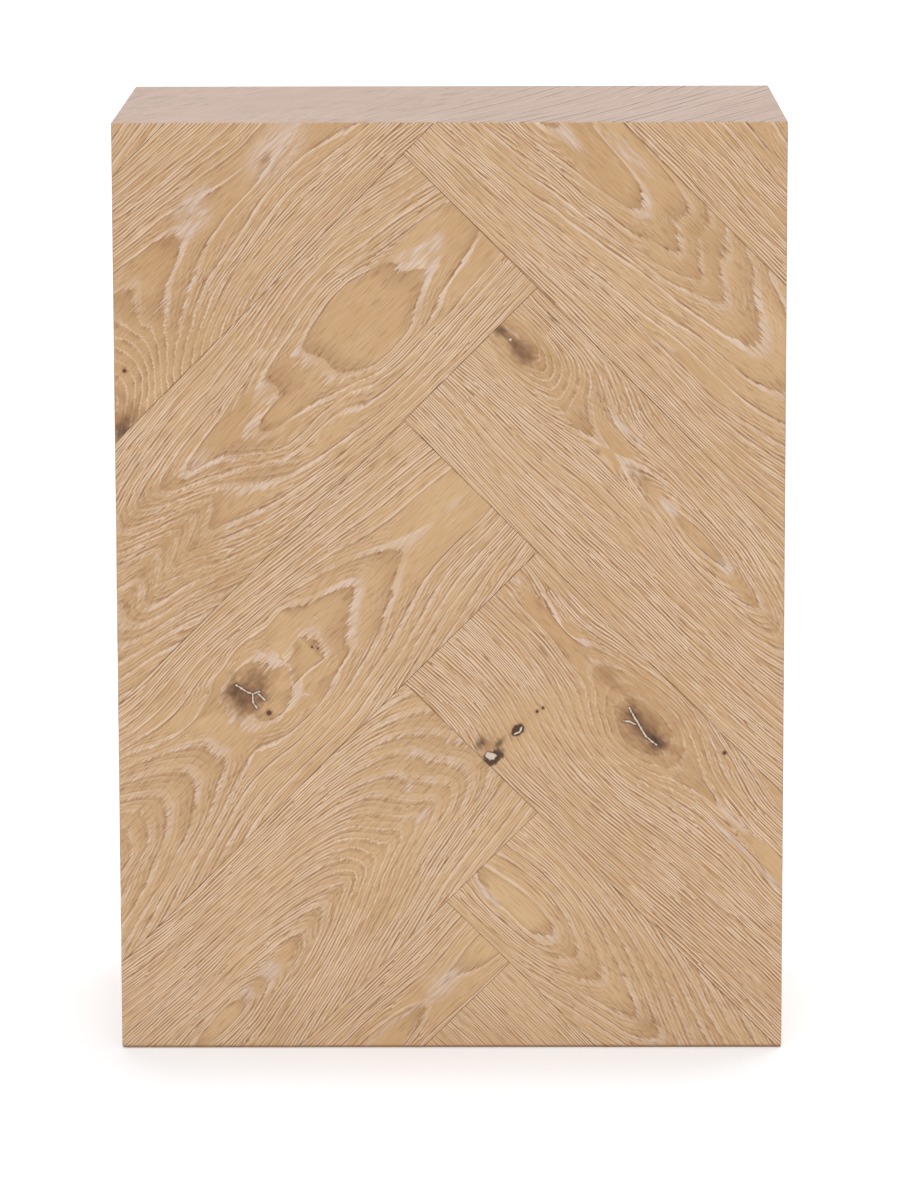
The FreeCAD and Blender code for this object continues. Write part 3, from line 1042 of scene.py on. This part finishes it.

# %% [markdown]
# ## The boards of the other faces
# Top, sides and back are one board each. On the top the grain runs to the back, leaning to the right,
# with straight rings on the right that widen and fade into a plain stretch on the left. Its colours are
# greyer and paler than the front's: painted sheen, for part of the whitish reflection that the top
# shows when seen at a grazing angle. The sides and the back are not in the photograph; they get upright
# boards with the tall arches of a plain-sawn oak board.

# %% Lay and rings of the boards
TOP_LEAN = math.radians(19)
LEAN_BACK = math.cos(TOP_LEAN)
LEAN_RIGHT = math.sin(TOP_LEAN)
TOP_LAY = ((0, 0, 0.45), (LEAN_RIGHT, LEAN_BACK, 0), (LEAN_BACK, -LEAN_RIGHT, 0))
SIDE_LAY = ((0, 0, 0), (0, 0, 1), (0, 1, 0))
BACK_LAY = ((0, 0, 0), (0, 0, 1), (1, 0, 0))
BOARD_RINGS = {
    "top_board": {
        26: [(-120, 160), (120, 166)],
        21: [(-120, 146), (120, 150)],
        18: [(-120, 134), (120, 139)],
        15: [(-120, 122), (120, 124)],
        13: [(-120, 108), (120, 112)],
        11.2: [(-120, 96), (120, 99)],
        9: [(-120, 78), (120, 80)],
        7.6: [(-120, 65), (120, 68)],
        6: [(-120, 50), (120, 55)],
        4.4: [(-120, 39), (120, 41)],
        3.2: [(-120, 26), (120, 30)],
        1: [(-120, 4), (120, 8)],
        0: [(-120, -16), (120, -12)],
        -1: [(-120, -42), (120, -38)],
        -2: [(-120, -76), (120, -72)],
        -3: [(-120, -126), (120, -122)],
    },
    "left_side_board": {
        12: [(0, -14), (58, 4), (0, 20)],
        10: [(0, -24), (136, 1), (0, 30)],
        8: [(0, -33), (120, -18), (186, 0), (120, 22), (0, 40)],
        6: [(0, -41), (160, -24), (268, 2), (160, 30), (0, 49)],
        4: [(0, -49), (200, -30), (322, 5), (200, 36), (0, 58)],
        2: [(0, -57), (250, -34), (404, 7), (250, 42), (0, 66)],
        0: [(0, -66), (300, -38), (450, 7), (300, 50), (0, 75)],
        -2: [(0, -75), (450, -30), (450, 42), (0, 84)],
        -4: [(0, -84), (450, -48), (450, 58), (0, 93)],
        -8: [(0, -98), (450, -70), (450, 80)],
    },
    "right_side_board": {
        10: [(450, -30), (380, -14), (450, 4)],
        8: [(450, -40), (296, -17), (450, 14)],
        6: [(450, -49), (310, -36), (241, -15), (310, 6), (450, 25)],
        4: [(450, -57), (280, -42), (158, -11), (280, 16), (450, 35)],
        2: [(450, -66), (240, -46), (112, -10), (240, 22), (450, 44)],
        0: [(450, -75), (180, -48), (34, -13), (180, 28), (450, 54)],
        -2: [(450, -84), (0, -40), (0, 18), (450, 63)],
        -4: [(450, -92), (0, -58), (0, 36), (450, 72)],
        -8: [(0, -84), (0, 64), (450, 90)],
    },
    "back_board": {
        14: [(0, -20), (82, 6), (0, 34)],
        12: [(0, -34), (181, 3), (0, 46)],
        10: [(0, -46), (150, -28), (242, -2), (150, 34), (0, 57)],
        8: [(0, -57), (200, -36), (329, -7), (200, 38), (0, 68)],
        6: [(0, -68), (240, -44), (378, -3), (240, 44), (0, 79)],
        4: [(0, -79), (280, -52), (440, -2), (280, 52), (0, 90)],
        2: [(0, -91), (450, -44), (450, 38), (0, 101)],
        0: [(0, -103), (450, -64), (450, 56), (0, 113)],
        -4: [(0, -127), (450, -92), (450, 84), (0, 137)],
        -8: [(0, -152), (450, -118), (450, 110), (0, 160)],
    },
}
BOARD_MARKS = {
    "top_board": {
        "tone": 0.5, "bold": 2.1, "run": 150, "bands": 0.7, "dark_lines": 1.3, "plain_from": 11.0,
        "brushed": 0.0, "pores": 0.8, "flecks": 0.5,
    },
}
BOARD_LAYS = {
    "top_board": TOP_LAY,
    "left_side_board": SIDE_LAY,
    "right_side_board": SIDE_LAY,
    "back_board": BACK_LAY,
}

# %% Boards
BOARD_STEP = 0.005
for seed, (name, rings) in enumerate(BOARD_RINGS.items(), start=21):
    lay = BOARD_LAYS[name]
    # The top gets the greyer, paler palette as painted sheen.
    oak = SHEEN_GREYED_OAK if name == "top_board" else HONEY_OAK
    material = limed_oak("limed_oak_" + name, lay, seed, BOARD_MARKS.get(name, {}), oak)
    eased(name, lay, rings, BOARD_STEP, material)

# %% [markdown]
# ## The core
# Under the boards is a carcass of chipboard, which only shows where the block is turned over. Its
# shape in the frame is right, so it keeps its mesh and gets a chipboard material: flakes of a few
# millimetres, each a little lighter or darker than the next.

# %% Chipboard
FLAKES_PER_METRE = 420.0
FLAKE_DARK = shade(150, 116, 78)
FLAKE_LIGHT = shade(198, 164, 120)
FLAKE_EDGE = shade(118, 88, 58)
FLAKE_HEIGHT = 0.0002

chipboard, start = new_material("chipboard")
spot = start.node("ShaderNodeTexCoord", {}, {}, out="Object")
values = {"Vector": spot, "Scale": FLAKES_PER_METRE}
flake = start.node("ShaderNodeTexVoronoi", {"feature": "F1"}, values, out="Color")
flake_tone = start.node("ShaderNodeSeparateColor", {}, {"Color": flake}, out=0)
gap = start.node("ShaderNodeTexVoronoi", {"feature": "DISTANCE_TO_EDGE"}, values)
colour = mixed(flake_tone, FLAKE_DARK, FLAKE_LIGHT)
colour = mixed(1 - smooth(gap, 0.0, 0.12), colour, FLAKE_EDGE)
normal = start.node("ShaderNodeBump", {}, {"Strength": 0.4, "Distance": FLAKE_HEIGHT, "Height": gap})
skin = start.node("ShaderNodeBsdfPrincipled", {}, {
    "Base Color": colour,
    "Roughness": flake_tone * 0.15 + 0.7,
    "Normal": normal,
})
start.node("ShaderNodeOutputMaterial", {}, {"Surface": skin})
boards["core"].data.materials.clear()
boards["core"].data.materials.append(chipboard)
print("core in", chipboard.name)
